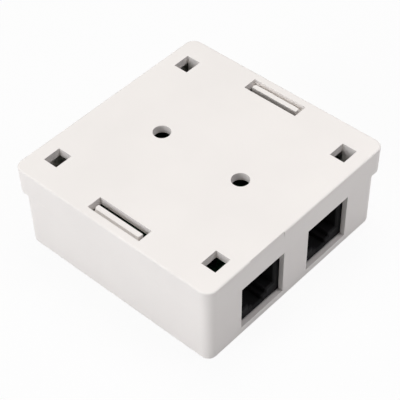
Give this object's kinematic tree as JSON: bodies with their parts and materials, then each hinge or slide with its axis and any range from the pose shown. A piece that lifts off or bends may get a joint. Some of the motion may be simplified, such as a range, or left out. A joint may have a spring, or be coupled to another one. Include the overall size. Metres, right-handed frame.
{
  "type": "two-port network wall box",
  "caption": "Shallow square surface-mount network box: screw-on base, clipped cover with two modular jack windows, and a board with jacks and wire blocks inside.",
  "frame": {"origin": "centre of the box's footprint, on the cover's front face, which the box lies on", "axes": "+Z out of the mounting face of the base, -Y out of the two ports, +X along the port wall"},
  "size_m": [0.0646, 0.0632, 0.0257],
  "materials": {
    "housing_plastic": "matte, fine even moulded texture",
    "board_laminate": "satin solder mask",
    "jack_plastic": "satin moulded",
    "carrier_plastic": "satin moulded",
    "contact_gold": "polished plating",
    "block_plastic": "satin moulded",
    "blade_tin": "bright plating",
    "cap_plastic": "satin moulded"
  },
  "bodies": {
    "cover": {"cover": "housing_plastic"},
    "base_unit": {"base": "housing_plastic", "circuit_board": "board_laminate", "jack_housing_left": "jack_plastic", "jack_carrier_left": "carrier_plastic", "jack_contacts_left": "contact_gold", "wire_block_left_front": "block_plastic", "blades_left_front": "blade_tin", "dust_cap_left_front": "cap_plastic", "wire_block_left_rear": "block_plastic", "blades_left_rear": "blade_tin", "dust_cap_left_rear": "cap_plastic", "jack_housing_right": "jack_plastic", "jack_carrier_right": "carrier_plastic", "jack_contacts_right": "contact_gold", "wire_block_right_front": "block_plastic", "blades_right_front": "blade_tin", "dust_cap_right_front": "cap_plastic", "wire_block_right_rear": "block_plastic", "blades_right_rear": "blade_tin", "dust_cap_right_rear": "cap_plastic"}
  },
  "joints": [
    {"name": "base_lift", "type": "slide", "parent": "cover", "child": "base_unit", "axis": [0, 0, 1], "range_m": [0, 0.03]}
  ]
}
